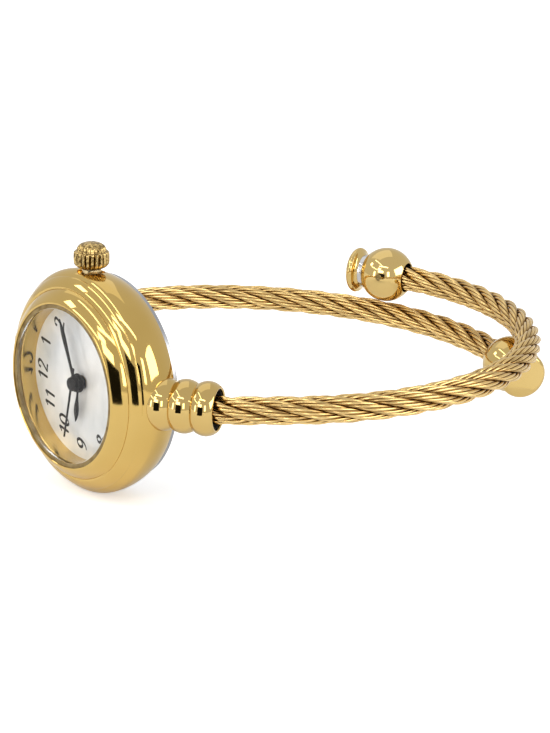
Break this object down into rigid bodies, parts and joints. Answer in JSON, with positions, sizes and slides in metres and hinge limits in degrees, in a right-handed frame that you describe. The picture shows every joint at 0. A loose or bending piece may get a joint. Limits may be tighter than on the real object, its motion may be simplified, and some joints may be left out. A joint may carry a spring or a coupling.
{
  "type": "cuff watch",
  "caption": "Ladies' quartz cuff watch: round gold case, pearly dial with black numerals, knurled crown, and sprung wire-rope arms that end in balls with flat caps.",
  "frame": {"origin": "centre of the caseback's outer flat face, where the watch rests on the wrist", "axes": "+Y from the caseback through the wrist to the open back of the cuff (the dial faces -Y), +Z along the stem towards the crown at three o'clock, +X towards six o'clock"},
  "size_m": [0.0622, 0.0637, 0.0293],
  "materials": {
    "gold_case": "polished",
    "gold_rope": "satin",
    "steel": "fine brushed",
    "crystal": "polished, clear",
    "gasket_clear": "smooth",
    "dial_pearl": "pearly",
    "hand_black": "satin",
    "rubber_black": "matte",
    "movement_brass": "grained",
    "wheel_brass": "polished",
    "holder_plastic": "moulded",
    "board_green": "matte",
    "coil_copper": "enamelled wire",
    "core_iron": "plain",
    "battery_steel": "bright"
  },
  "bodies": {
    "case": {"case_body": "gold_case", "bezel": "gold_case", "crystal": "crystal", "crystal_gasket": "gasket_clear", "flange_ring": "gold_case", "dial": "dial_pearl", "caseback": "steel", "caseback_gasket": "rubber_black", "crown_tube": "steel", "movement_holder": "holder_plastic", "main_plate": "movement_brass", "train_bridge": "movement_brass", "circuit_board": "board_green", "coil": "coil_copper", "coil_core": "core_iron", "stator": "core_iron", "quartz_can": "steel", "battery": "battery_steel", "battery_clamp": "steel", "movement_screws": "steel", "end_link_six": "gold_case", "end_link_twelve": "gold_case", "cable_seal_six": "rubber_black", "cable_seal_twelve": "rubber_black"},
    "crown_slide": {"crown_gasket": "rubber_black"},
    "crown_turned": {"crown": "gold_case", "stem": "steel", "sliding_pinion": "steel"},
    "rotor_body": {"rotor": "core_iron"},
    "intermediate_body": {"intermediate_wheel": "wheel_brass"},
    "seconds": {"fourth_wheel": "wheel_brass", "second_hand": "hand_black"},
    "third_body": {"third_wheel": "wheel_brass"},
    "minutes": {"centre_wheel": "wheel_brass", "minute_hand": "hand_black"},
    "minute_wheel_body": {"minute_wheel": "wheel_brass"},
    "hours": {"hour_wheel": "wheel_brass", "hour_hand": "hand_black"},
    "arm_six": {"cable_six": "gold_rope", "ball_six": "gold_case", "end_cap_six": "gold_case"},
    "arm_twelve": {"cable_twelve": "gold_rope", "ball_twelve": "gold_case", "end_cap_twelve": "gold_case"}
  },
  "joints": [
    {"name": "crown_pull", "type": "slide", "parent": "case", "child": "crown_slide", "axis": [0, 0, 1], "range_m": [0, 0.001]},
    {"name": "crown_turn", "type": "hinge", "parent": "crown_slide", "child": "crown_turned", "pos_m": [0, -0.0036, 0.0145], "axis": [0, 0, 1], "continuous": true},
    {"name": "second_turn", "type": "hinge", "parent": "case", "child": "seconds", "pos_m": [0, -0.003, 0], "axis": [0, 1, 0], "continuous": true},
    {"name": "rotor_turn", "type": "hinge", "parent": "case", "child": "rotor_body", "pos_m": [0.00184, -0.003, 0.00448], "axis": [0, 1, 0], "continuous": true},
    {"name": "intermediate_turn", "type": "hinge", "parent": "case", "child": "intermediate_body", "pos_m": [0.00065, -0.003, 0.00241], "axis": [0, 1, 0], "continuous": true},
    {"name": "third_turn", "type": "hinge", "parent": "case", "child": "third_body", "pos_m": [0.00236, -0.003, -0.00136], "axis": [0, 1, 0], "continuous": true},
    {"name": "minute_turn", "type": "hinge", "parent": "case", "child": "minutes", "pos_m": [0, -0.003, 0], "axis": [0, 1, 0], "continuous": true},
    {"name": "minute_wheel_turn", "type": "hinge", "parent": "case", "child": "minute_wheel_body", "pos_m": [0, -0.003, -0.0024], "axis": [0, 1, 0], "continuous": true},
    {"name": "hour_turn", "type": "hinge", "parent": "case", "child": "hours", "pos_m": [0, -0.003, 0], "axis": [0, 1, 0], "continuous": true},
    {"name": "arm_six_flex", "type": "hinge", "parent": "case", "child": "arm_six", "pos_m": [0.01671, 0.00084, 0], "axis": [0, 0, -1], "range_deg": [0, 25], "stiffness_Nm_per_rad": 1},
    {"name": "arm_twelve_flex", "type": "hinge", "parent": "case", "child": "arm_twelve", "pos_m": [-0.01671, 0.00084, 0], "axis": [0, 0, 1], "range_deg": [0, 25], "stiffness_Nm_per_rad": 1}
  ],
  "couplings": [
    {"joint": "rotor_turn", "follows": "second_turn", "ratio": 30},
    {"joint": "intermediate_turn", "follows": "second_turn", "ratio": -4},
    {"joint": "third_turn", "follows": "second_turn", "ratio": -0.13333},
    {"joint": "minute_turn", "follows": "second_turn", "ratio": 0.016667},
    {"joint": "minute_wheel_turn", "follows": "second_turn", "ratio": -0.0055556},
    {"joint": "hour_turn", "follows": "second_turn", "ratio": 0.0013889}
  ]
}
